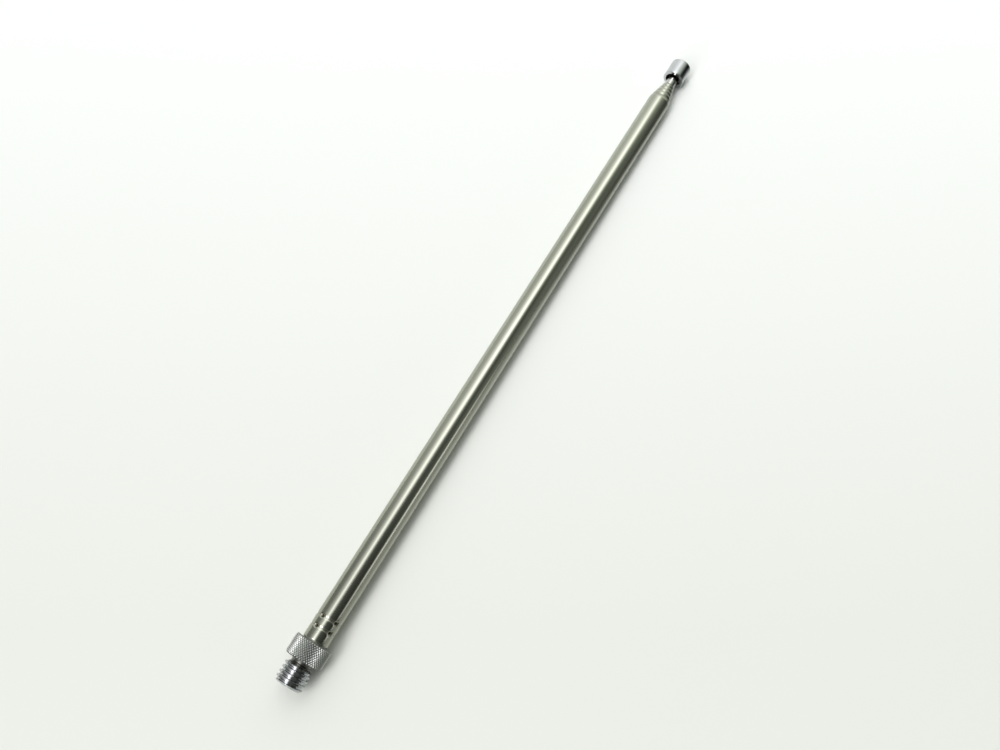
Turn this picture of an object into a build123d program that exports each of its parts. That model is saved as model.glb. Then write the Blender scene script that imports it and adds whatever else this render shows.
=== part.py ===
"""Telescopic magnetic pickup tool, in millimetres.

The tool lies along X: its threaded end points to -X and its magnet to +X.
The origin is on the tool's axis, in the plane of the knurled collar's seat face.
Section 1 is the outer tube, sections 2 to 5 are the tubes inside it, and section 6 is the solid rod.
"""

import os

from build123d import *

# Driving dimensions.
THREAD_RADIUS = 3.95  # crest radius of the M8 x 1.25 thread
THREAD_LENGTH = 5.5
THREAD_CHAMFER = 0.6
NECK_RADIUS = 3.3
NECK_LENGTH = 1.4
SEAT_RELIEF_RADIUS = 4.05  # undercut in the collar's seat face, so that a mating face sits flat
SEAT_RELIEF_DEPTH = 0.25
COLLAR_RADIUS = 5.3  # over the knurl's crests
COLLAR_LENGTH = 5.45
COLLAR_BEVEL = 0.5
COLLAR_FLATS = 24  # flats around the collar, which stand for the knurl's bite on a surface
SPIGOT_LENGTH = 9.2
SPIGOT_CHAMFER = 0.35
CRIMP_OFFSETS = (3.8, 6.6)  # from the collar's tube side to each ring of the crimp
CRIMP_DEPTH = 0.25
CRIMP_HALF_WIDTH = 0.8
HEM_LENGTH = 0.7  # where the outer tube's end is rolled down beside the collar
HEM_DEPTH = 0.2

SECTIONS = 6
OUTER_RADIUS = 3.65
RADIUS_STEP = 0.38  # from each section's outside to the next one's
WALL = 0.22
OUTER_TUBE_END = 205.05
LIP_STEP = 1.62  # how far each closed section stands out of the one around it

MOUTH_CLEARANCE = 0.03  # radial, between a swaged mouth and the section that slides in it
MOUTH_LAND = 0.8
MOUTH_TAPER = 0.2
SWAGE_LENGTH = 0.5
SWAGE_DEPTH = 0.16
SWAGE_BLEND = 0.9
LIP_ROUND = 0.1

FLANGE = 0.6  # thickness of a plug's two flanges
FLANGE_CLEARANCE = 0.05
SEAT_LENGTH = 4.0  # where the friction sleeve sits, between the flanges
PLUG_GRIP = 1.5  # how far a plug reaches into its tube
REST_GAP = 0.05  # between the stacked ends of the closed sections, and at the end of a travel

SLEEVE_THICKNESS = 0.12
SLEEVE_SEAT_CLEARANCE = 0.03
SLEEVE_BORE_CLEARANCE = 0.01
SLEEVE_END_CLEARANCE = 0.05
SLEEVE_SPLIT = 0.5
SLEEVE_WINDOWS = 3
WINDOW_LENGTH = 2.4

TAIL_RADIUS = 1.1
PEEN_DEPTH = 0.35
PEEN_SPREAD = 0.35

HEAD_START = 214.95
HEAD_LENGTH = 6.5
HEAD_RADIUS = 3.43
HEAD_ROUND = 0.45
SKIRT_WALL = 0.88  # around the hollow at the back of the head
SKIRT_DEPTH = 2.2
WEB = 1.2
POCKET_RADIUS = 2.95
NOSE_RADIUS = 1.0
RIVET_RADIUS = 1.5
RIVET_HEIGHT = 0.4
MAGNET_RECESS = 0.1
MAGNET_GAP = 0.1  # behind the magnet, over the rivet
LINER_WALL = 0.35
MAGNET_CHAMFER = 0.12

SAME_PLACE = 1e-6  # two points nearer than this are one

# Places worked out from them.
SPIGOT_END = COLLAR_LENGTH + SPIGOT_LENGTH
SLEEVE_LENGTH = SEAT_LENGTH - 2 * SLEEVE_END_CLEARANCE
SPOOL_LENGTH = 2 * FLANGE + SEAT_LENGTH
STACK_STEP = SPOOL_LENGTH + PLUG_GRIP + REST_GAP
HEAD_END = HEAD_START + HEAD_LENGTH
WEB_START = HEAD_START + SKIRT_DEPTH
WEB_END = WEB_START + WEB
MAGNET_START = WEB_END + RIVET_HEIGHT + MAGNET_GAP
MAGNET_END = HEAD_END - MAGNET_RECESS


def outside(section):
    """Outer radius of a section."""
    return OUTER_RADIUS - RADIUS_STEP * (section - 1)


def bore(section):
    """Inner radius of a tube section."""
    return outside(section) - WALL


def tip(section):
    """Where a tube section ends, with the tool closed."""
    return OUTER_TUBE_END + LIP_STEP * (section - 1)


def spool_start(section):
    """Where the stop spool at a moving section's lower end begins, with the tool closed."""
    return SPIGOT_END + REST_GAP + STACK_STEP * (section - 2)


def section_start(section):
    """Where a moving section itself begins, just above its spool, with the tool closed."""
    return spool_start(section) + SPOOL_LENGTH


def travel(section):
    """How far a moving section slides out before its spool meets the mouth around it."""
    mouth = tip(section - 1) - MOUTH_LAND - MOUTH_TAPER
    return mouth - REST_GAP - section_start(section)


def turned(*corners):
    """A solid turned about X, from the (x, radius) corners of its half section."""
    return revolve(make_face(Polyline(*corners, close=True)), axis=Axis.X)


def corner_at(face, x, radius):
    """The corner of a half section that lies at a given place."""
    return [v for v in face.vertices() if abs(v.X - x) + abs(v.Y - radius) < SAME_PLACE]


def collar():
    """The knurled collar's body: a prism of flats with both ends bevelled."""
    flats = RegularPolygon(COLLAR_RADIUS, COLLAR_FLATS)
    prism = extrude(Plane.YZ * flats, amount=COLLAR_LENGTH)
    low = COLLAR_RADIUS - COLLAR_BEVEL
    envelope = turned(
        (0, 0),
        (0, low),
        (COLLAR_BEVEL, COLLAR_RADIUS),
        (COLLAR_LENGTH - COLLAR_BEVEL, COLLAR_RADIUS),
        (COLLAR_LENGTH, low),
        (COLLAR_LENGTH, 0),
    )
    relief = turned(
        (-NECK_LENGTH, 0),
        (-NECK_LENGTH, SEAT_RELIEF_RADIUS),
        (SEAT_RELIEF_DEPTH, SEAT_RELIEF_RADIUS),
        (SEAT_RELIEF_DEPTH, 0),
    )
    return (prism & envelope) - relief


def crimp_ring(x, radius):
    """The three corners of one crimped ring, on a surface of that radius."""
    return [
        (x - CRIMP_HALF_WIDTH, radius),
        (x, radius - CRIMP_DEPTH),
        (x + CRIMP_HALF_WIDTH, radius),
    ]


def crimp_rings(radius):
    """The corners of both crimped rings, from the collar outwards."""
    return [c for offset in CRIMP_OFFSETS for c in crimp_ring(COLLAR_LENGTH + offset, radius)]


def spigot_corners():
    """The corners of the spigot's surface where the outer tube is rolled and crimped onto it."""
    grip = bore(1)
    hem = [(COLLAR_LENGTH, grip - HEM_DEPTH), (COLLAR_LENGTH + HEM_LENGTH, grip)]
    return hem + crimp_rings(grip)


def threaded_fitting():
    """The turned base: threaded stud, relief neck, knurled collar and grooved spigot."""
    stud_start = -NECK_LENGTH - THREAD_LENGTH
    grip = bore(1)
    core = turned(
        (stud_start, 0),
        (stud_start, THREAD_RADIUS - THREAD_CHAMFER),
        (stud_start + THREAD_CHAMFER, THREAD_RADIUS),
        (-NECK_LENGTH, THREAD_RADIUS),
        (-NECK_LENGTH, NECK_RADIUS),
        (SEAT_RELIEF_DEPTH, NECK_RADIUS),
        *spigot_corners(),
        (SPIGOT_END - SPIGOT_CHAMFER, grip),
        (SPIGOT_END, grip - SPIGOT_CHAMFER),
        (SPIGOT_END, 0),
    )
    return core + collar()


def tube(section, inside_corners):
    """A thin tube, from the corners of its inside at its lower end to its swaged mouth.

    The mouth just clears the next section.
    """
    radius = outside(section)
    inner = bore(section)
    mouth = outside(section + 1) + MOUTH_CLEARANCE
    end = tip(section)
    profile = make_face(
        Polyline(
            *[(x, r + WALL) for x, r in inside_corners],
            (end - SWAGE_LENGTH, radius),
            (end, radius - SWAGE_DEPTH),
            (end, mouth),
            (end - MOUTH_LAND, mouth),
            (end - MOUTH_LAND - MOUTH_TAPER, inner),
            *reversed(inside_corners),
            close=True,
        )
    )
    profile = fillet(corner_at(profile, end - SWAGE_LENGTH, radius), SWAGE_BLEND)
    profile = fillet(corner_at(profile, end, radius - SWAGE_DEPTH), LIP_ROUND)
    return revolve(profile, axis=Axis.X)


def outer_tube():
    """The fixed outer tube, rolled and crimped onto the fitting's spigot."""
    return tube(1, spigot_corners())


def section_tube(section):
    """One of the tubes that slide."""
    return tube(section, [(section_start(section), bore(section))])


def spool_corners(section):
    """The outside of the stop spool: two flanges that clear the bore, and the sleeve's seat."""
    start = spool_start(section)
    flange = bore(section - 1) - FLANGE_CLEARANCE
    seat = bore(section - 1) - RADIUS_STEP
    end = section_start(section)
    return [
        (start, flange),
        (start + FLANGE, flange),
        (start + FLANGE, seat),
        (end - FLANGE, seat),
        (end - FLANGE, flange),
        (end, flange),
    ]


def end_plug(section):
    """The plug pressed into a tube's lower end, with the stop spool below it."""
    start = spool_start(section)
    end = section_start(section)
    grip = bore(section)
    return turned(
        (start, 0),
        *spool_corners(section),
        (end, grip),
        (end + PLUG_GRIP, grip),
        (end + PLUG_GRIP, 0),
    )


def rod_stop_bush():
    """The rod's stop spool, a bush held on the rod's tail by the peened end."""
    start = spool_start(SECTIONS)
    end = section_start(SECTIONS)
    return turned(
        (start, TAIL_RADIUS + PEEN_SPREAD),
        *spool_corners(SECTIONS),
        (end, TAIL_RADIUS),
        (start + PEEN_DEPTH, TAIL_RADIUS),
    )


def friction_sleeve(section):
    """A split spring sleeve, bowed out to press on the bore around it."""
    seat = bore(section - 1) - RADIUS_STEP + SLEEVE_SEAT_CLEARANCE
    bow = bore(section - 1) - SLEEVE_BORE_CLEARANCE
    start = spool_start(section) + FLANGE + SLEEVE_END_CLEARANCE
    middle = start + SLEEVE_LENGTH / 2
    end = start + SLEEVE_LENGTH
    rim = seat + SLEEVE_THICKNESS
    band = make_face(
        [
            ThreePointArc((start, rim), (middle, bow), (end, rim)),
            Line((end, rim), (end, seat)),
            ThreePointArc((end, seat), (middle, bow - SLEEVE_THICKNESS), (start, seat)),
            Line((start, seat), (start, rim)),
        ]
    )
    sleeve = revolve(band, axis=Axis.X)
    reach = 2 * bow
    split = Pos(middle, 0, reach / 2) * Box(2 * SLEEVE_LENGTH, SLEEVE_SPLIT, reach)
    sleeve -= split
    window = Pos(middle, 0, reach / 2) * Box(WINDOW_LENGTH, SLEEVE_SPLIT, reach)
    for number in range(1, SLEEVE_WINDOWS + 1):
        sleeve -= Rot(X=360 * number / (SLEEVE_WINDOWS + 1)) * window
    return sleeve


def rod():
    """The solid rod: peened tail below, riveted nose in the head above."""
    start = spool_start(SECTIONS)
    shoulder = section_start(SECTIONS)
    radius = outside(SECTIONS)
    return turned(
        (start, 0),
        (start, TAIL_RADIUS + PEEN_SPREAD),
        (start + PEEN_DEPTH, TAIL_RADIUS),
        (shoulder, TAIL_RADIUS),
        (shoulder, radius),
        (WEB_START, radius),
        (WEB_START, NOSE_RADIUS),
        (WEB_END, NOSE_RADIUS),
        (WEB_END, RIVET_RADIUS),
        (WEB_END + RIVET_HEIGHT, RIVET_RADIUS),
        (WEB_END + RIVET_HEIGHT, 0),
    )


def magnet_cup():
    """The head's shell: a hollow skirt round the rod, a web, and the magnet's pocket."""
    skirt = HEAD_RADIUS - SKIRT_WALL
    profile = make_face(
        Polyline(
            (HEAD_START, skirt),
            (HEAD_START, HEAD_RADIUS),
            (HEAD_END, HEAD_RADIUS),
            (HEAD_END, POCKET_RADIUS),
            (WEB_END, POCKET_RADIUS),
            (WEB_END, NOSE_RADIUS),
            (WEB_START, NOSE_RADIUS),
            (WEB_START, skirt),
            close=True,
        )
    )
    profile = fillet(corner_at(profile, HEAD_END, HEAD_RADIUS), HEAD_ROUND)
    return revolve(profile, axis=Axis.X)


def magnet_liner():
    """The non-magnetic ring that keeps the magnet's side off the steel cup."""
    return turned(
        (WEB_END, POCKET_RADIUS - LINER_WALL),
        (WEB_END, POCKET_RADIUS),
        (MAGNET_END, POCKET_RADIUS),
        (MAGNET_END, POCKET_RADIUS - LINER_WALL),
    )


def magnet():
    """The disc magnet, with its front edge broken."""
    radius = POCKET_RADIUS - LINER_WALL
    return turned(
        (MAGNET_START, 0),
        (MAGNET_START, radius),
        (MAGNET_END - MAGNET_CHAMFER, radius),
        (MAGNET_END, radius - MAGNET_CHAMFER),
        (MAGNET_END, 0),
    )


def all_nodes():
    """Every node's name and solid."""
    nodes = {
        "threaded_fitting": threaded_fitting(),
        "outer_tube": outer_tube(),
        "rod": rod(),
        "rod_stop_bush": rod_stop_bush(),
        "magnet_cup": magnet_cup(),
        "magnet_liner": magnet_liner(),
        "magnet": magnet(),
    }
    for section in range(2, SECTIONS):
        nodes[f"section_tube_{section}"] = section_tube(section)
        nodes[f"end_plug_{section}"] = end_plug(section)
    for section in range(2, SECTIONS + 1):
        nodes[f"friction_sleeve_{section}"] = friction_sleeve(section)
    return nodes


def report_travel():
    """Prints each moving section's travel, and the tool's length closed and open."""
    closed = HEAD_END + NECK_LENGTH + THREAD_LENGTH
    travels = [travel(section) for section in range(2, SECTIONS + 1)]
    for section, distance in enumerate(travels, start=2):
        print(f"section {section} slides {distance:.2f} mm")
    print(f"closed {closed:.1f} mm, open {closed + sum(travels):.1f} mm")


os.makedirs("parts", exist_ok=True)
for name, solid in all_nodes().items():
    export_step(solid, f"parts/{name}.step")
report_travel()
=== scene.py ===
"""Looks for the telescopic magnetic pickup tool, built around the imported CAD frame.

Every length is in metres. The tool lies along X, with its threaded end at -X and its magnet at +X.
"""

import math

import bmesh
import bpy
from mathutils import Matrix, Vector


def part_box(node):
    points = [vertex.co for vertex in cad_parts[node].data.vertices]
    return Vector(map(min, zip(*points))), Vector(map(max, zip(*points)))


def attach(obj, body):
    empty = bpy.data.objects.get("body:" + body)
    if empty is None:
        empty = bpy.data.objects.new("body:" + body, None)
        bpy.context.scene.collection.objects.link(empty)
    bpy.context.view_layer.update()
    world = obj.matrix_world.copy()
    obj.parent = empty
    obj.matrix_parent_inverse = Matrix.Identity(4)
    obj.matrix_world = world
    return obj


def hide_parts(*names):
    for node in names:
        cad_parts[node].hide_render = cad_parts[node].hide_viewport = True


MM = 0.001
MICRON = 1e-6
TURN = 2 * math.pi
SAME_PLACE = 1e-7  # two points nearer than this are one
FLAT_ENOUGH = 1e-9  # a face that bends less than this stays whole

# The base fitting.
THREAD_PITCH = 1.25 * MM
THREAD_RADIUS = 3.95 * MM
THREAD_DEPTH = 0.50 * MM
THREAD_CREST = 0.40  # flat crest, as a share of the pitch
THREAD_ROOT = 0.28  # flat root, as a share of the pitch
THREAD_CHAMFER = 0.50 * MM
THREAD_STEPS = 24  # mesh steps over one pitch
THREAD_PHASE = 0.16  # where the winding starts, as a share of the pitch
RUNOUT_SLOPE = 2.2  # how steeply the last turn fades into the neck
NECK_RADIUS = 3.3 * MM
NECK_LENGTH = 1.4 * MM
NECK_DIP = 0.5 * MM  # how deep the neck's round groove is
NECK_STEPS = 12
SEAT_RELIEF = 0.25 * MM
SEAT_RELIEF_RADIUS = 4.05 * MM
COLLAR_LENGTH = 5.45 * MM
COLLAR_BEVEL = 0.42 * MM
KNURL_COUNT = 44  # diamonds around the collar
KNURL_STEPS = 8  # mesh steps over one diamond, around and along
KNURL_ROWS = 48  # mesh steps along the collar
KNURL_DEPTH = 0.27 * MM
KNURL_DOME = 0.4  # how far a diamond's faces bulge
FITTING_SEGMENTS = KNURL_COUNT * KNURL_STEPS
FITTING_SMOOTH = 20  # degrees; sharper edges than this stay sharp on the fitting
SPIGOT_LENGTH = 9.2 * MM
SPIGOT_CHAMFER = 0.35 * MM
SPIGOT_GAP = 0.03 * MM  # between the dimples and the spigot's grooves

# The outer tube's lower end: rolled down beside the collar, then crimped by two rings of dimples.
HEM_LENGTH = 0.7 * MM
HEM_DEPTH = 0.2 * MM
HEM_STEPS = 6
CRIMP_OFFSETS = (3.8 * MM, 6.6 * MM)
CRIMP_HALF_WIDTH = 0.8 * MM
CRIMP_STEP = 0.07 * MM  # between the mesh rings over the crimp
GROOVE_DEPTH = 0.13 * MM
GROOVE_HALF_WIDTH = 0.55 * MM
DIMPLES = 5
DIMPLE_SEGMENTS = 48  # mesh steps around the tube for each dimple
DIMPLE_DEPTH = 0.48 * MM
DIMPLE_LENGTH = 0.80 * MM  # half size along the tube
DIMPLE_WIDTH = 1.1 * MM  # half size around the tube
DIMPLE_PHASE = math.radians(-24)

# The sections: 1 is the outer tube, the last is the rod, and the ones between are tubes that slide.
SECTIONS = 6
SLIDING_TUBES = range(2, SECTIONS)
WALL = 0.22 * MM
TUBE_SEGMENTS = 96
TUBE_STEP = 20 * MM  # between the mesh rings of a straight stretch
STRETCH_START = 1 * MM  # from a tube's end or crimp to its first straight ring
STRETCH_END = 12 * MM  # from its last straight ring to its mouth's end
MOUTH_GAP = 0.03 * MM  # around the next section
MOUTH_LAND = 0.8 * MM
MOUTH_TAPER = 0.2 * MM
MOUTH_REACH = 6 * MM  # from the mouth's end to the last of its own rings
OUTER_SWAGE = 1.2 * MM  # how long the rolled-in end is, on the outer tube and on the others
INNER_SWAGE = 0.5 * MM
SWAGE_DEPTH = 0.16 * MM
SWAGE_BLEND = 0.9 * MM
LIP_ROUND = 0.10 * MM
LIP_BORE_ROUND = 0.03 * MM

# The rod and the head.
SUPPORT = 0.6 * MM  # from a corner to the ring that keeps the shading of a straight stretch straight
END_RING = 0.5 * MM  # the innermost ring of an end face
EDGE_ROUND = 0.05 * MM
SPOOL_LENGTH = 5.2 * MM  # of the stop bush on the rod's tail
TAIL_RADIUS = 1.1 * MM
PEEN_RADIUS = 1.45 * MM
PEEN_DEPTH = 0.35 * MM
NOSE_RADIUS = 1.0 * MM
RIVET_RADIUS = 1.5 * MM
RIVET_HEIGHT = 0.4 * MM
RIVET_ROUND = 0.1 * MM
HEAD_ROUND = 0.45 * MM  # of its front edge
SKIRT_WALL = 0.88 * MM  # around the hollow at the back of the head
SKIRT_DEPTH = 2.2 * MM
SKIRT_ROUND = 0.15 * MM  # at the hollow's floor
RIM_ROUND = 0.12 * MM
RIM_BORE_ROUND = 0.10 * MM
WEB = 1.2 * MM
POCKET_RADIUS = 2.95 * MM
POCKET_ROUND = 0.02 * MM
MAGNET_FRONT_ROUND = 0.12 * MM
MAGNET_BACK_ROUND = 0.1 * MM
LINER_WALL = 0.35 * MM
DULL_SHADE_START = 0.15 * MM  # where the hollow's dull wall starts, inside the rim
DULL_SHADE_MARGIN = 0.01 * MM

# Metals: the darker and the lighter colour of each, and its lowest and highest roughness.
CHROME = ((0.49, 0.505, 0.52), (0.54, 0.55, 0.565), 0.05, 0.11)
KNURLED = ((0.60, 0.615, 0.60), (0.68, 0.695, 0.68), 0.26, 0.38)
TUBE_STEEL = ((0.39, 0.40, 0.335), (0.43, 0.44, 0.375), 0.13, 0.24)
ROD_STEEL = ((0.48, 0.48, 0.45), (0.54, 0.54, 0.51), 0.10, 0.18)
# dull steel that is also painted shade, dark in the neck's groove and in the head's hollow
DULL_STEEL_AND_SHADE = ((0.165, 0.16, 0.145), (0.25, 0.245, 0.225), 0.25, 0.38)
BRASS = ((0.72, 0.53, 0.25), (0.80, 0.62, 0.32), 0.18, 0.32)
BRONZE = ((0.58, 0.36, 0.20), (0.66, 0.44, 0.27), 0.22, 0.36)
NICKEL = ((0.60, 0.58, 0.54), (0.68, 0.66, 0.62), 0.14, 0.26)

# Painted shade by depth below the surface's own radius, in the drawn tubes' grooves, dimples and steps,
# and in the knurl's grooves.
RECESS_SHADE_SHALLOW = 0.06 * MM
RECESS_SHADE_DEEP = 0.34 * MM
RECESS_SHADE_COLOUR = (0.07, 0.062, 0.045)
RECESS_ROUGHNESS = 0.2
KNURL_SHADE_SHALLOW = 0.08 * MM
KNURL_GROOVE_SHADE = (0.17, 0.175, 0.165)

# The floor.
FLOOR_SIZE = 6.0
TIP_TOUCH = 0.9 * MM  # how far from its end the outer tube touches the floor
FLOOR_ROUGHNESS = 0.6
# painted light: the floor's colour runs from darker near the camera to brighter away from it
FLOOR_SHADED_NEAR = (0.81, 0.826, 0.78)
FLOOR_LIT_FAR = (0.965, 0.985, 0.975)
FLOOR_LIGHT_FADE = (5 * MM, 215 * MM)  # from the near colour to the far one, along the camera's heading
# painted shade on the floor, seen only in the tool's reflections
REFLECTED_SHADE_BESIDE = (-3 * MM, -20 * MM)  # where the floor dims in reflections, by Y
REFLECTED_SHADE_ALONG = (105 * MM, 205 * MM)  # where that dimming deepens, by X
REFLECTED_SHADE_DEPTH = (0.45, 0.93)

# The camera.
CAMERA_PLACE = Vector((15.55, -49.73, 233.0)) * MM
CAMERA_AZIMUTH = math.radians(30.4)
CAMERA_ELEVATION = math.radians(68.7)
CLIP_START = 10 * MM
FOCAL_PIXELS = 860
IMAGE_WIDTH = 1000
SENSOR_WIDTH = 36.0


# --- Mesh tools -----------------------------------------------------------------------------------


def rounded(corners, steps=5):
    """An outline of (x, radius) points from (x, radius, fillet) corners, with arcs at the fillets."""
    points = []
    for i, (x, r, fillet) in enumerate(corners):
        here = Vector((x, r))
        if not fillet:
            points.append(here)
            continue
        before = (Vector(corners[i - 1][:2]) - here).normalized()
        after = (Vector(corners[i + 1][:2]) - here).normalized()
        half = before.angle(after) / 2
        inward = (before + after).normalized()
        centre = here + inward * (fillet / math.sin(half))
        reach = math.copysign(math.pi / 2 - half, before.cross(after))
        for k in range(steps + 1):
            spin = Matrix.Rotation(reach * (1 - 2 * k / steps), 2)
            points.append(centre - fillet * (spin @ inward))
    return [(p.x, p.y) for p in points]


def stretch(start, end, step):
    """Evenly spaced places from start to end, about a step apart."""
    count = max(1, round((end - start) / step))
    return [start + (end - start) * k / count for k in range(count + 1)]


def wave(t):
    """A triangle wave: 0 at whole numbers, 1 half way between them."""
    return 1 - abs(2 * (t % 1.0) - 1)


def dip(distance):
    """A smooth dip: 1 at the middle, 0 from a distance of 1 outwards."""
    return math.cos(math.pi * min(abs(distance), 1.0) / 2) ** 2


def smooth_piece(name, verts, faces, smooth_angle):
    """An object with its normals outwards, shaded smooth except at edges over that many degrees."""
    mesh = bpy.data.meshes.new(name)
    mesh.from_pydata(verts, [], faces)
    shape = bmesh.new()
    shape.from_mesh(mesh)
    bmesh.ops.remove_doubles(shape, verts=shape.verts, dist=SAME_PLACE)
    bmesh.ops.dissolve_degenerate(shape, edges=shape.edges, dist=SAME_PLACE)
    bmesh.ops.recalc_face_normals(shape, faces=shape.faces)
    shape.to_mesh(mesh)
    shape.free()
    for polygon in mesh.polygons:
        polygon.use_smooth = True
    mesh.set_sharp_from_angle(angle=math.radians(smooth_angle))
    piece = bpy.data.objects.new(name, mesh)
    bpy.context.scene.collection.objects.link(piece)
    return piece


def lathe(name, rings, segments, closed, smooth_angle=30, helical=0, lead=0):
    """A piece turned about X. Each ring is (x, radius), and both may be functions of the angle.

    With closed, the last ring joins the first; otherwise each end is capped at the axis.
    The first helical rings wind: after a turn each one goes on as the ring lead places further on.
    """
    angles = [TURN * k / segments for k in range(segments)]
    verts = []
    radii = []
    for x, radius in rings:
        for a in angles:
            r = radius(a) if callable(radius) else radius
            radii.append(r)
            verts.append((x(a) if callable(x) else x, -r * math.sin(a), r * math.cos(a)))

    def after_turn(ring):
        return min(ring + lead, helical - 1) if ring < helical else ring

    faces = []
    for low in range(len(rings) if closed else len(rings) - 1):
        high = (low + 1) % len(rings)
        for k in range(segments):
            n = (k + 1) % segments
            low_next, high_next = (low, high) if n else (after_turn(low), after_turn(high))
            a, b = low * segments + k, low_next * segments + n
            c, d = high_next * segments + n, high * segments + k
            bend = radii[a] + radii[c] - radii[b] - radii[d]
            if abs(bend) < FLAT_ENOUGH:
                faces.append((a, b, c, d))
            elif bend < 0:  # split along the lower diagonal, so that grooves stay straight
                faces += [(a, b, c), (a, c, d)]
            else:
                faces += [(a, b, d), (b, c, d)]
    if not closed:
        for ring, flip in ((0, True), (len(rings) - 1, False)):
            hub = len(verts)
            first = ring * segments
            verts.append((verts[first][0], 0, 0))
            for k in range(segments):
                fan = (first + k, first + (k + 1) % segments, hub)
                faces.append(fan[::-1] if flip else fan)
    return smooth_piece(name, verts, faces, smooth_angle)


def dress(piece, material, body, node):
    """Gives a finished piece its material and its body, and hides the CAD node that it stands for."""
    piece.data.materials.append(material)
    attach(piece, body)
    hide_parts(node)


def repaint(piece, material, chosen):
    """Gives one more material to the faces whose middle, as (x, radius), is chosen."""
    index = len(piece.data.materials)
    piece.data.materials.append(material)
    for polygon in piece.data.polygons:
        middle = polygon.center
        if chosen(middle.x, math.hypot(middle.y, middle.z)):
            polygon.material_index = index


# --- Node tools -----------------------------------------------------------------------------------


def feed(tree, socket, value):
    """Links a node's output to a socket, or sets the socket to a number or colour."""
    if isinstance(value, bpy.types.NodeSocket):
        tree.links.new(value, socket)
    elif isinstance(value, tuple):
        socket.default_value = (*value, 1)
    else:
        socket.default_value = value


def maths(tree, operation, *inputs):
    """A maths node on sockets and numbers."""
    node = tree.nodes.new("ShaderNodeMath")
    node.operation = operation
    for socket, value in zip(node.inputs, inputs):
        feed(tree, socket, value)
    return node.outputs["Value"]


def remap(tree, source, start, end, low=0.0, high=1.0):
    """From low to high as the source goes from start to end, and level outside them."""
    node = tree.nodes.new("ShaderNodeMapRange")
    tree.links.new(source, node.inputs["Value"])
    node.inputs["From Min"].default_value = start
    node.inputs["From Max"].default_value = end
    node.inputs["To Min"].default_value = low
    node.inputs["To Max"].default_value = high
    return node.outputs["Result"]


def blend(tree, factor, a, b):
    """A colour between a and b."""
    node = tree.nodes.new("ShaderNodeMix")
    node.data_type = "RGBA"
    tree.links.new(factor, node.inputs["Factor"])
    feed(tree, node.inputs["A"], a)
    feed(tree, node.inputs["B"], b)
    return node.outputs["Result"]


def axes(tree, vector):
    """The X, Y and Z of a vector."""
    split = tree.nodes.new("ShaderNodeSeparateXYZ")
    tree.links.new(vector, split.inputs["Vector"])
    return [split.outputs[axis] for axis in "XYZ"]


# --- Materials ------------------------------------------------------------------------------------


class Shade:
    """A small helper that builds one node material."""

    def __init__(self, name, **sockets):
        self.material = bpy.data.materials.new(name)
        self.material.use_nodes = True
        self.tree = self.material.node_tree
        self.shader = self.tree.nodes["Principled BSDF"]
        for socket, value in sockets.items():
            self.shader.inputs[socket.replace("_", " ")].default_value = value
        self.place = self.tree.nodes.new("ShaderNodeTexCoord").outputs["Object"]

    def noise(self, scale, detail=3.0, rough=0.5, squeeze=(1, 1, 1), shift=(0, 0, 0)):
        """A noise pattern in the object's own space, remapped to run from 0 to 1."""
        mapping = self.tree.nodes.new("ShaderNodeMapping")
        mapping.inputs["Scale"].default_value = squeeze
        mapping.inputs["Location"].default_value = shift
        self.tree.links.new(self.place, mapping.inputs["Vector"])
        texture = self.tree.nodes.new("ShaderNodeTexNoise")
        texture.inputs["Scale"].default_value = scale
        texture.inputs["Detail"].default_value = detail
        texture.inputs["Roughness"].default_value = rough
        self.tree.links.new(mapping.outputs["Vector"], texture.inputs["Vector"])
        return remap(self.tree, texture.outputs["Fac"], 0.3, 0.7)

    def below(self, radius, shallow, deep):
        """From 0 to 1 between two depths under a radius about X."""
        _, y, z = axes(self.tree, self.place)
        across = maths(self.tree, "MULTIPLY_ADD", z, z, maths(self.tree, "MULTIPLY", y, y))
        distance = maths(self.tree, "SQRT", across)
        return remap(self.tree, distance, radius - deep, radius - shallow, 1, 0)

    def set(self, **sockets):
        """Links patterns to the shader's sockets."""
        for name, source in sockets.items():
            self.tree.links.new(source, self.shader.inputs[name.replace("_", " ")])

    def bump(self, source, height):
        """Surface relief that follows a pattern, of that height in metres."""
        node = self.tree.nodes.new("ShaderNodeBump")
        node.inputs["Strength"].default_value = 1.0
        node.inputs["Distance"].default_value = height
        self.tree.links.new(source, node.inputs["Height"])
        self.set(Normal=node.outputs["Normal"])


def chrome(name, dark, light, smooth, rough):
    """Chrome plate with faint haze and a few handling marks."""
    shade = Shade(name, Metallic=1.0)
    haze = shade.noise(260, detail=4.0)
    shade.set(
        Base_Color=blend(shade.tree, haze, dark, light),
        Roughness=remap(shade.tree, haze, 0, 1, smooth, rough),
    )
    shade.bump(shade.noise(900, detail=2.0, shift=(3, 1, 2)), 0.5 * MICRON)
    return shade.material


def chrome_over_knurl(name, dark, light, smooth, rough, crest):
    """Chrome over a knurl, with painted shade down in its grooves."""
    shade = Shade(name, Metallic=1.0)
    haze = shade.noise(420, detail=4.0)
    # painted shade, darker down in the knurl's grooves
    groove = shade.below(crest, KNURL_SHADE_SHALLOW, KNURL_DEPTH)
    shade.set(
        Base_Color=blend(shade.tree, groove, blend(shade.tree, haze, dark, light), KNURL_GROOVE_SHADE),
        Roughness=remap(shade.tree, haze, 0, 1, smooth, rough),
    )
    shade.bump(shade.noise(900, detail=2.0, shift=(3, 1, 2)), 1 * MICRON)
    return shade.material


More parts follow.
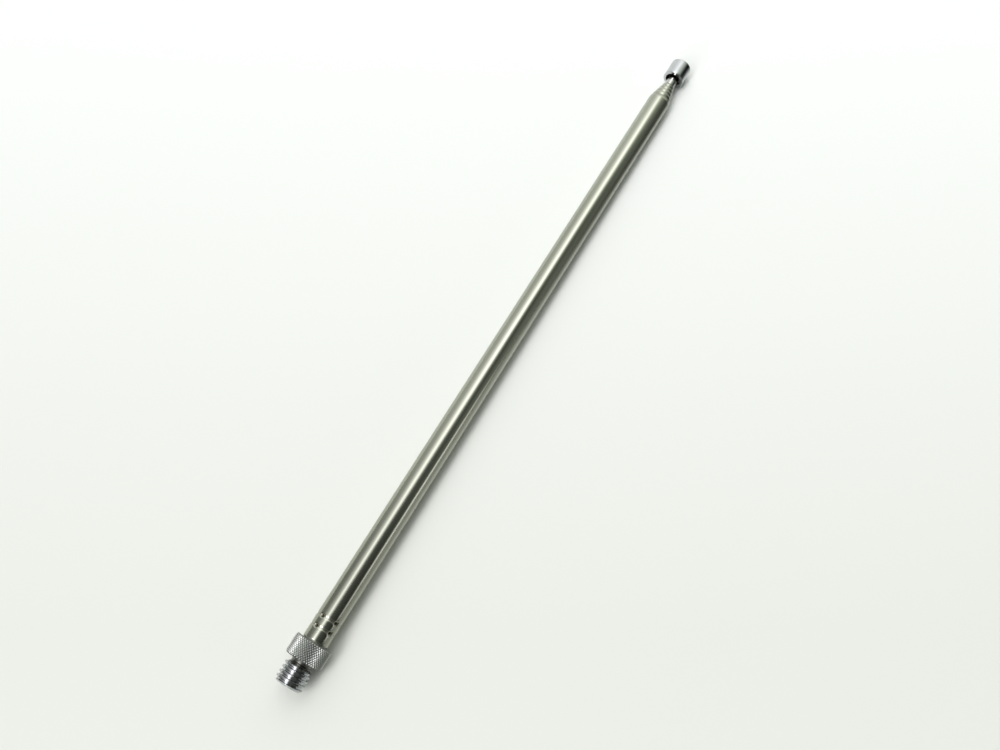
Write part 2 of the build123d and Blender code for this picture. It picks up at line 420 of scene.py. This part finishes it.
def drawn_steel(name, dark, light, smooth, rough, radius):
    """Drawn and polished steel: fine lines along it, a soft stain, and painted shade, a little rougher,
    below its own radius.
    """
    shade = Shade(name, Metallic=1.0)
    tree = shade.tree
    stain = shade.noise(45, squeeze=(0.35, 1, 1))
    lines = shade.noise(1400, detail=4.0, rough=0.6, squeeze=(0.012, 1, 1))
    # painted shade: darker and rougher below the tube's own radius, in its grooves, dimples, steps and
    # bore
    recess_shade = shade.below(radius, RECESS_SHADE_SHALLOW, RECESS_SHADE_DEEP)
    clean = remap(tree, lines, 0, 1, smooth, rough)
    shade.set(
        Base_Color=blend(tree, recess_shade, blend(tree, stain, dark, light), RECESS_SHADE_COLOUR),
        Roughness=maths(tree, "MULTIPLY_ADD", recess_shade, RECESS_ROUGHNESS, clean),
    )
    shade.bump(lines, 0.6 * MICRON)
    return shade.material


def turned_metal(name, dark, light, smooth, rough):
    """Turned metal with fine rings round its axis."""
    shade = Shade(name, Metallic=1.0)
    stain = shade.noise(300)
    rings = shade.noise(2500, detail=2.0, squeeze=(1, 0.02, 0.02), shift=(1, 5, 2))
    shade.set(
        Base_Color=blend(shade.tree, stain, dark, light),
        Roughness=remap(shade.tree, rings, 0, 1, smooth, rough),
    )
    shade.bump(rings, 1 * MICRON)
    return shade.material


def pale_floor():
    """A matt, near-white sheet, with painted light that makes it brighter away from the camera.

    In the tool's reflections it has painted shade past its -Y side, which keeps the tool's lower edge
    dark.
    """
    shade = Shade("pale_floor", Roughness=FLOOR_ROUGHNESS)
    tree = shade.tree
    x, y, _ = axes(tree, shade.place)
    # painted light: brighter away from the camera
    across = maths(tree, "MULTIPLY", y, math.sin(CAMERA_AZIMUTH))
    away = maths(tree, "MULTIPLY_ADD", x, math.cos(CAMERA_AZIMUTH), across)
    colour = blend(tree, remap(tree, away, *FLOOR_LIGHT_FADE), FLOOR_SHADED_NEAR, FLOOR_LIT_FAR)
    # painted shade, seen only in reflections: darker past the tool's -Y side
    beside = remap(tree, y, *REFLECTED_SHADE_BESIDE)
    depth = remap(tree, x, *REFLECTED_SHADE_ALONG, *REFLECTED_SHADE_DEPTH)
    mirrored = tree.nodes.new("ShaderNodeLightPath").outputs["Is Glossy Ray"]
    reflected_shade = maths(tree, "MULTIPLY", maths(tree, "MULTIPLY", beside, depth), mirrored)
    shade.set(Base_Color=blend(tree, reflected_shade, colour, (0, 0, 0)))
    shade.bump(shade.noise(350, shift=(2, 2, 0)), 8 * MICRON)
    return shade.material


# --- The base fitting -----------------------------------------------------------------------------


def thread_depth(share):
    """How deep the thread's surface is, at a share of the pitch from the middle of a crest."""
    flank = (1 - THREAD_CREST - THREAD_ROOT) / 2
    fall = (min(share, 1 - share) - THREAD_CREST / 2) / flank
    return THREAD_DEPTH * min(1.0, max(0.0, fall))


def thread_rings(start, end):
    """The stud's winding rings, chamfered at its start and fading into the neck at its end."""
    step = THREAD_PITCH / THREAD_STEPS
    count = THREAD_STEPS + math.ceil((end - start) / step) + 1

    def ring(i):
        def x(angle):
            along = start + step * (i - THREAD_STEPS * (1 - angle / TURN))
            return min(end, max(start, along))

        def radius(angle):
            chamfer = THREAD_RADIUS - max(0.0, THREAD_CHAMFER - (x(angle) - start))
            runout = NECK_RADIUS + (end - x(angle)) * RUNOUT_SLOPE
            thread = THREAD_RADIUS - thread_depth((i / THREAD_STEPS - THREAD_PHASE) % 1.0)
            return min(thread, chamfer, runout)

        return x, radius

    return [ring(i) for i in range(count)]


def neck_rings():
    """The relief neck's round groove, and the undercut in the collar's seat face."""
    places = stretch(-NECK_LENGTH, 0, NECK_LENGTH / NECK_STEPS)[1:]
    groove = [(x, NECK_RADIUS - NECK_DIP * math.sqrt(wave(x / NECK_LENGTH))) for x in places]
    undercut = [(SEAT_RELIEF, NECK_RADIUS), (SEAT_RELIEF, SEAT_RELIEF_RADIUS), (0, SEAT_RELIEF_RADIUS)]
    return groove + undercut


def knurl_ring(row, crest):
    """One ring of the knurl: slightly domed diamonds between crossing grooves, under the end bevels."""
    x = COLLAR_LENGTH * row / KNURL_ROWS
    limit = crest - max(0.0, COLLAR_BEVEL - min(x, COLLAR_LENGTH - x))

    def radius(angle):
        place = angle / TURN * KNURL_COUNT
        shift = row / KNURL_STEPS
        flank = min(wave(place + shift), wave(place - shift))
        height = flank * (1 + KNURL_DOME * (1 - flank))
        return min(crest - KNURL_DEPTH * (1 - height), limit)

    return x, radius


def spigot_rings(grip):
    """The spigot inside the outer tube, with a groove under each ring of dimples."""
    rings = [(x, grip - hem_depth(x)) for x in hem_places()]
    groove = grip - DIMPLE_DEPTH - SPIGOT_GAP
    for offset in CRIMP_OFFSETS:
        middle = COLLAR_LENGTH + offset
        rings += [(middle - CRIMP_HALF_WIDTH, grip), (middle - CRIMP_HALF_WIDTH / 2, groove)]
        rings += [(middle + CRIMP_HALF_WIDTH / 2, groove), (middle + CRIMP_HALF_WIDTH, grip)]
    end = COLLAR_LENGTH + SPIGOT_LENGTH
    return rings + [(end - SPIGOT_CHAMFER, grip), (end, grip - SPIGOT_CHAMFER)]


def base_fitting(plate, knurl, dull_and_shade):
    """The stud with its thread, the grooved neck, the knurled collar and the spigot."""
    low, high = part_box("threaded_fitting")
    crest = high.z
    rings = thread_rings(low.x, -NECK_LENGTH)
    helical = len(rings)
    rings += neck_rings()
    rings += [knurl_ring(row, crest) for row in range(KNURL_ROWS + 1)]
    rings += spigot_rings(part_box("outer_tube")[1].z - WALL)
    piece = lathe(
        "fitting_body", rings, FITTING_SEGMENTS, closed=False, smooth_angle=FITTING_SMOOTH,
        helical=helical, lead=THREAD_STEPS,
    )
    dress(piece, plate, "handle", "threaded_fitting")
    repaint(piece, knurl, lambda x, r: 0 < x < COLLAR_LENGTH and r > crest - 2 * COLLAR_BEVEL)
    # dull steel and painted shade in the neck's groove and the seat's undercut
    repaint(piece, dull_and_shade, lambda x, r: -NECK_LENGTH < x < SEAT_RELIEF and r < SEAT_RELIEF_RADIUS)


# --- Tubes, rod and head --------------------------------------------------------------------------


def hem_places():
    """The places of the mesh rings where the outer tube's lower end is rolled in."""
    return stretch(COLLAR_LENGTH, COLLAR_LENGTH + HEM_LENGTH, HEM_LENGTH / HEM_STEPS)


def hem_depth(x):
    """How far the outer tube's lower end is rolled in, at a place on it."""
    return HEM_DEPTH * max(0.0, 1 - (x - COLLAR_LENGTH) / HEM_LENGTH) ** 2


def crimp_depth(x, angle, radius):
    """How far the crimp pushes the outer tube's wall in, at a place on it."""
    step = TURN / DIMPLES
    around = ((angle - DIMPLE_PHASE + step / 2) % step - step / 2) * radius
    depth = 0.0
    for offset in CRIMP_OFFSETS:
        along = x - COLLAR_LENGTH - offset
        groove = GROOVE_DEPTH * dip(along / GROOVE_HALF_WIDTH)
        punch = DIMPLE_DEPTH * dip(math.hypot(along / DIMPLE_LENGTH, around / DIMPLE_WIDTH))
        depth = max(depth, groove, punch)
    return depth


def straight_rings(start, end, radius):
    """The mesh rings of a tube's straight stretch, from its end or crimp to near its mouth."""
    return [(x, radius) for x in stretch(start + STRETCH_START, end - STRETCH_END, TUBE_STEP)]


def mouth_outline(node, next_radius, swage):
    """The mouth of a tube node, rolled in over its last stretch: outside corners, then inside ones."""
    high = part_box(node)[1]
    radius = high.z
    end = high.x
    bore = next_radius + MOUTH_GAP
    outside = rounded(
        [
            (end - 2 * swage, radius, 0),
            (end - swage, radius, SWAGE_BLEND),
            (end, radius - SWAGE_DEPTH, LIP_ROUND),
            (end, bore, LIP_BORE_ROUND),
            (end - MOUTH_LAND, bore, 0),
        ]
    )
    inner = radius - WALL
    return outside + [(end - MOUTH_LAND - MOUTH_TAPER, inner), (end - MOUTH_REACH, inner)]


def outer_tube(material, next_radius):
    """The outer tube, rolled down beside the collar and crimped by its rings of punched dimples."""
    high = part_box("outer_tube")[1]
    radius = high.z

    def wall(x, r):
        return lambda angle: r - crimp_depth(x, angle, radius)

    crimp_start = COLLAR_LENGTH + CRIMP_OFFSETS[0] - CRIMP_HALF_WIDTH
    crimp_end = COLLAR_LENGTH + CRIMP_OFFSETS[-1] + CRIMP_HALF_WIDTH
    crimp = stretch(crimp_start, crimp_end, CRIMP_STEP)
    rings = [(x, radius - hem_depth(x)) for x in hem_places()]
    rings += [(x, wall(x, radius)) for x in crimp]
    rings += straight_rings(crimp_end, high.x, radius)
    rings += mouth_outline("outer_tube", next_radius, OUTER_SWAGE)
    rings += [(x, wall(x, radius - WALL)) for x in reversed(crimp)]
    rings += [(x, radius - WALL - hem_depth(x)) for x in reversed(hem_places())]
    piece = lathe("outer_tube_shell", rings, DIMPLES * DIMPLE_SEGMENTS, closed=True)
    dress(piece, material, "handle", "outer_tube")


def section_tube(number, material, next_radius):
    """One of the sliding tubes."""
    node = f"section_tube_{number}"
    low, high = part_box(node)
    radius = high.z
    rings = [(low.x, radius - WALL), (low.x, radius)]
    rings += straight_rings(low.x, high.x, radius)
    rings += mouth_outline(node, next_radius, INNER_SWAGE)
    piece = lathe(f"section_{number}_shell", rings, TUBE_SEGMENTS, closed=True)
    dress(piece, material, f"section_{number}", node)


def rod(material):
    """The solid rod, from its peened tail to its riveted nose."""
    low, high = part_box("rod")
    radius = high.z
    shoulder = low.x + SPOOL_LENGTH
    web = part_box("magnet_cup")[0].x + SKIRT_DEPTH
    rivet = high.x - RIVET_HEIGHT
    corners = [
        (low.x, PEEN_RADIUS, 0),
        (low.x + PEEN_DEPTH, TAIL_RADIUS, 0),
        (shoulder, TAIL_RADIUS, 0),
        (shoulder, radius, EDGE_ROUND),
        (shoulder + SUPPORT, radius, 0),
        (web - SUPPORT, radius, 0),
        (web, radius, EDGE_ROUND),
        (web, NOSE_RADIUS, 0),
        (rivet, NOSE_RADIUS, 0),
        (rivet, RIVET_RADIUS, RIVET_ROUND),
        (high.x, RIVET_RADIUS, RIVET_ROUND),
        (high.x, END_RING, 0),
    ]
    piece = lathe("rod_bar", rounded(corners), TUBE_SEGMENTS, closed=False)
    dress(piece, material, "rod", "rod")


def magnet_cup(plate, dull_and_shade):
    """The head's shell, with its rounded front edge and the hollow at its back."""
    low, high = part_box("magnet_cup")
    radius = high.z
    skirt = radius - SKIRT_WALL
    web_start = low.x + SKIRT_DEPTH
    web_end = web_start + WEB
    corners = [
        (web_start, NOSE_RADIUS, 0),
        (web_start, skirt, SKIRT_ROUND),
        (low.x, skirt, RIM_BORE_ROUND),
        (low.x, radius, RIM_ROUND),
        (low.x + SUPPORT, radius, 0),
        (high.x - SUPPORT, radius, 0),
        (high.x, radius, HEAD_ROUND),
        (high.x, POCKET_RADIUS, POCKET_ROUND),
        (web_end, POCKET_RADIUS, EDGE_ROUND),
        (web_end, NOSE_RADIUS, 0),
    ]
    piece = lathe("magnet_cup_shell", rounded(corners, steps=8), 2 * TUBE_SEGMENTS, closed=True)
    dress(piece, plate, "rod", "magnet_cup")
    # dull steel and painted shade inside the head's hollow
    dull_shade_start = low.x + DULL_SHADE_START
    repaint(piece, dull_and_shade, lambda x, r: dull_shade_start < x < web_end and r < skirt + DULL_SHADE_MARGIN)


def magnet(material):
    """The disc magnet in the head's front."""
    low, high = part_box("magnet")
    corners = [
        (low.x, END_RING, 0),
        (low.x, high.z, MAGNET_BACK_ROUND),
        (high.x, high.z, MAGNET_FRONT_ROUND),
        (high.x, high.z - SUPPORT, 0),
        (high.x, END_RING, 0),
    ]
    piece = lathe("magnet_disc", rounded(corners), TUBE_SEGMENTS, closed=False)
    dress(piece, material, "rod", "magnet")


def magnet_liner(material):
    """The brass ring round the magnet."""
    low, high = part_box("magnet_liner")
    inner = high.z - LINER_WALL
    corners = [(low.x, inner), (low.x, high.z), (high.x, high.z), (high.x, inner)]
    piece = lathe("magnet_liner_ring", corners, TUBE_SEGMENTS, closed=True)
    dress(piece, material, "rod", "magnet_liner")


# --- Stage ----------------------------------------------------------------------------------------


def floor(material):
    """The floor, which holds the tool up at its collar and at the outer tube's tip.

    It slopes a little, because the collar is wider than the tip. Past the head it runs along the axis,
    so that the head comes to lie on it when the tool is pulled out.
    """
    collar_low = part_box("threaded_fitting")[0]
    tube_low, tube_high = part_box("outer_tube")
    rear = Vector((COLLAR_LENGTH - COLLAR_BEVEL, 0, collar_low.z))
    front = Vector((tube_high.x - TIP_TOUCH, 0, tube_low.z))
    slope = math.atan2(front.z - rear.z, front.x - rear.x)
    half = FLOOR_SIZE / 2
    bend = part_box("magnet_cup")[1].x - rear.x
    rows = ((-half, 0), (bend, 0), (bend + half, -half * math.tan(slope)))
    verts = [(x, side * half, z) for x, z in rows for side in (-1, 1)]
    mesh = bpy.data.meshes.new("floor")
    mesh.from_pydata(verts, [], [(0, 2, 3, 1), (2, 4, 5, 3)])
    mesh.materials.append(material)
    sheet = bpy.data.objects.new("floor", mesh)
    sheet.matrix_world = Matrix.Translation(rear) @ Matrix.Rotation(-slope, 4, "Y")
    bpy.context.scene.collection.objects.link(sheet)


# The studio's brightness, in bands along X. A band has two shares of the direction along +X, between
# which it fades in over the band before it, and its stops: degrees from overhead, positive towards -Y,
# and the brightness there. Most of these numbers were worked out by scripts that compared the
# brightness across the tube in the photograph with renders, so this isn't a plain studio light.
SKY_STRENGTH = 8.0
SKY = (
    (
        (-1.1, -1.0),
        (
            (-90, 0.12), (-60, 0.15), (-40, 0.3), (-28, 1.1), (-20, 5.2), (-14, 8.0),
            (-9, 6.9), (-3, 1.4), (6, 0.2), (40, 0.12), (90, 0.12),
        ),
    ),
    (
        (-0.30, -0.08),
        (
            (-90, 0.33), (-62, 0.29), (-48, 0.35), (-35, 0.61), (-23, 1.07), (-11, 2.4),
            (-2, 1.15), (9, 0.10), (35, 0.09), (47, 0.04), (66, 0.035), (90, 0.10),
        ),
    ),
    (
        (0.03, 0.27),
        (
            (-90, 0.70), (-62, 0.70), (-48, 0.88), (-35, 1.28), (-23, 1.95), (-11, 2.95), (-2, 2.5),
            (10, 0.55), (21, 0.12), (35, 0.11), (47, 0.18), (60, 0.22), (86, 0.22), (90, 0.16),
        ),
    ),
    (
        (0.44, 0.61),
        (
            (-90, 1.0), (-62, 0.90), (-48, 1.02), (-35, 1.33), (-22, 2.1), (-11, 2.75),
            (-2, 2.55), (10, 1.15), (22, 0.45), (34, 0.28), (60, 0.17), (72, 0.12), (90, 0.09),
        ),
    ),
    (
        (0.6415, 0.645),
        (
            (-90, 1.1), (-62, 1.1), (-48, 1.19), (-23, 1.45), (-11, 1.55), (0, 1.4),
            (12, 1.1), (23, 0.9), (35, 0.63), (47, 0.35), (59, 0.08), (72, 0.01), (90, 0.01),
        ),
    ),
    (
        (0.69, 0.78),
        ((-90, 0.9), (-40, 1.1), (-10, 1.4), (10, 1.1), (45, 0.7), (90, 0.5)),
    ),
)
DARK_SIDE_FROM = 6  # degrees from overhead where the sky's darker, greener -Y side starts
DARK_SIDE_TINT = (0.93, 1.0, 0.88)
FAR_SIDE_FROM = -40  # and where its +Y side starts
FAR_SIDE_TINT = (0.97, 1.0, 0.95)
WINDOW_BRIGHT = 2.0
WINDOW_COLOUR = (0.8, 0.8, 0.8)
WINDOW_PLACE = (77, 10)  # its middle and half width, in degrees from overhead
WINDOW_ALONG = (0.13, 0.19)  # its middle and half length, by the direction's share along +X
BACKDROP = (0.80, 0.82, 0.80)  # what is seen past the floor's edge


def sky_ramp(tree, source, stops):
    """A colour ramp over the angle from overhead, which runs from 0 to 1 in the source."""
    ramp = tree.nodes.new("ShaderNodeValToRGB")
    tree.links.new(source, ramp.inputs["Fac"])
    elements = ramp.color_ramp.elements
    while len(elements) < len(stops):
        elements.new(0.5)
    for element, (angle, bright) in zip(elements, stops):
        tint = (1, 1, 1)
        if angle > DARK_SIDE_FROM:
            tint = DARK_SIDE_TINT
        elif angle < FAR_SIDE_FROM:
            tint = FAR_SIDE_TINT
        level = bright / SKY_STRENGTH
        element.position = (angle + 90) / 180
        element.color = (*[level * t for t in tint], 1)
    return ramp.outputs["Color"]


def bump_over(tree, source, middle, half):
    """1 in the middle of a stretch of the source, falling to 0 at its ends and beyond."""
    offset = maths(tree, "MULTIPLY_ADD", source, 1 / half, -middle / half)
    fall = maths(tree, "SUBTRACT", 1.0, maths(tree, "MULTIPLY", offset, offset))
    return maths(tree, "MAXIMUM", fall, 0.0)


def glow(tree, colour, strength):
    """A light of that colour and strength from all round."""
    node = tree.nodes.new("ShaderNodeBackground")
    feed(tree, node.inputs["Color"], colour)
    feed(tree, node.inputs["Strength"], strength)
    return node.outputs["Background"]


def studio():
    """Soft light from overhead, a little to +Y, with a darker side and a low window towards -Y."""
    world = bpy.data.worlds.new("studio")
    bpy.context.scene.world = world
    world.use_nodes = True
    tree = world.node_tree
    tree.nodes.clear()
    x, y, z = axes(tree, tree.nodes.new("ShaderNodeTexCoord").outputs["Generated"])
    angle = maths(tree, "ARCTAN2", maths(tree, "MULTIPLY", y, -1.0), z)
    share = maths(tree, "MULTIPLY_ADD", angle, 1 / math.pi, 0.5)
    sky = (0, 0, 0)
    for (start, full), stops in SKY:
        sky = blend(tree, remap(tree, x, start, full), sky, sky_ramp(tree, share, stops))
    around = bump_over(tree, angle, *[math.radians(a) for a in WINDOW_PLACE])
    window = maths(tree, "MULTIPLY", around, bump_over(tree, x, *WINDOW_ALONG))
    brightness = maths(tree, "MULTIPLY", window, WINDOW_BRIGHT)
    lights = tree.nodes.new("ShaderNodeAddShader")
    feed(tree, lights.inputs[0], glow(tree, sky, SKY_STRENGTH))
    feed(tree, lights.inputs[1], glow(tree, WINDOW_COLOUR, brightness))
    seen = tree.nodes.new("ShaderNodeMixShader")
    feed(tree, seen.inputs["Fac"], tree.nodes.new("ShaderNodeLightPath").outputs["Is Camera Ray"])
    feed(tree, seen.inputs[1], lights.outputs["Shader"])
    feed(tree, seen.inputs[2], glow(tree, BACKDROP, 1.0))
    output = tree.nodes.new("ShaderNodeOutputWorld")
    feed(tree, output.inputs["Surface"], seen.outputs["Shader"])


def camera():
    """The photograph's viewpoint, with the camera held level."""
    data = bpy.data.cameras.new("camera")
    data.sensor_width = SENSOR_WIDTH
    data.lens = FOCAL_PIXELS / IMAGE_WIDTH * SENSOR_WIDTH
    data.clip_start = CLIP_START
    cam = bpy.data.objects.new("camera", data)
    bpy.context.scene.collection.objects.link(cam)
    level = math.cos(CAMERA_ELEVATION)
    forward = Vector(
        (
            level * math.cos(CAMERA_AZIMUTH),
            level * math.sin(CAMERA_AZIMUTH),
            -math.sin(CAMERA_ELEVATION),
        )
    )
    cam.location = CAMERA_PLACE
    cam.rotation_euler = forward.to_track_quat("-Z", "Y").to_euler()
    bpy.context.scene.camera = cam


# --- The scene ------------------------------------------------------------------------------------

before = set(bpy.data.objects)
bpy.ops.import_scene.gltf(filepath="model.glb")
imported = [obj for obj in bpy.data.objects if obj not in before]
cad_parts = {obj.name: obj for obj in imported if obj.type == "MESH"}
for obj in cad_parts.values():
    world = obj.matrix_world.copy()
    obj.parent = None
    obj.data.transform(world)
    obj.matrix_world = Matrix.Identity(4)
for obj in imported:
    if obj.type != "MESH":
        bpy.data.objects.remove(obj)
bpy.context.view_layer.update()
bpy.context.scene.view_settings.view_transform = "Standard"

radii = {number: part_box(f"section_tube_{number}")[1].z for number in SLIDING_TUBES}
radii[1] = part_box("outer_tube")[1].z
radii[SECTIONS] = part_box("rod")[1].z
knurl_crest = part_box("threaded_fitting")[1].z

chrome_plate = chrome("chrome_plate", *CHROME)
knurled_chrome = chrome_over_knurl("knurled_chrome", *KNURLED, knurl_crest)
dull_steel_and_shade = turned_metal("dull_steel_and_shade", *DULL_STEEL_AND_SHADE)
brass = turned_metal("turned_brass", *BRASS)
bronze = turned_metal("spring_bronze", *BRONZE)
nickel = turned_metal("nickel_magnet", *NICKEL)
rod_steel = drawn_steel("steel_rod", *ROD_STEEL, radii[SECTIONS])
tube_steel = {
    number: drawn_steel(f"stainless_tube_{number}", *TUBE_STEEL, radii[number])
    for number in range(1, SECTIONS)
}

base_fitting(chrome_plate, knurled_chrome, dull_steel_and_shade)
outer_tube(tube_steel[1], radii[2])
for number in SLIDING_TUBES:
    section_tube(number, tube_steel[number], radii[number + 1])
rod(rod_steel)
magnet_cup(chrome_plate, dull_steel_and_shade)
magnet(nickel)
magnet_liner(brass)

# The pieces inside the tubes stay the CAD's own, with better metals.
inside = {"end_plug": brass, "rod_stop": brass, "friction_sleeve": bronze}
for node_name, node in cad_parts.items():
    for start, metal in inside.items():
        if node_name.startswith(start):
            node.data.materials.clear()
            node.data.materials.append(metal)

floor(pale_floor())
studio()
camera()
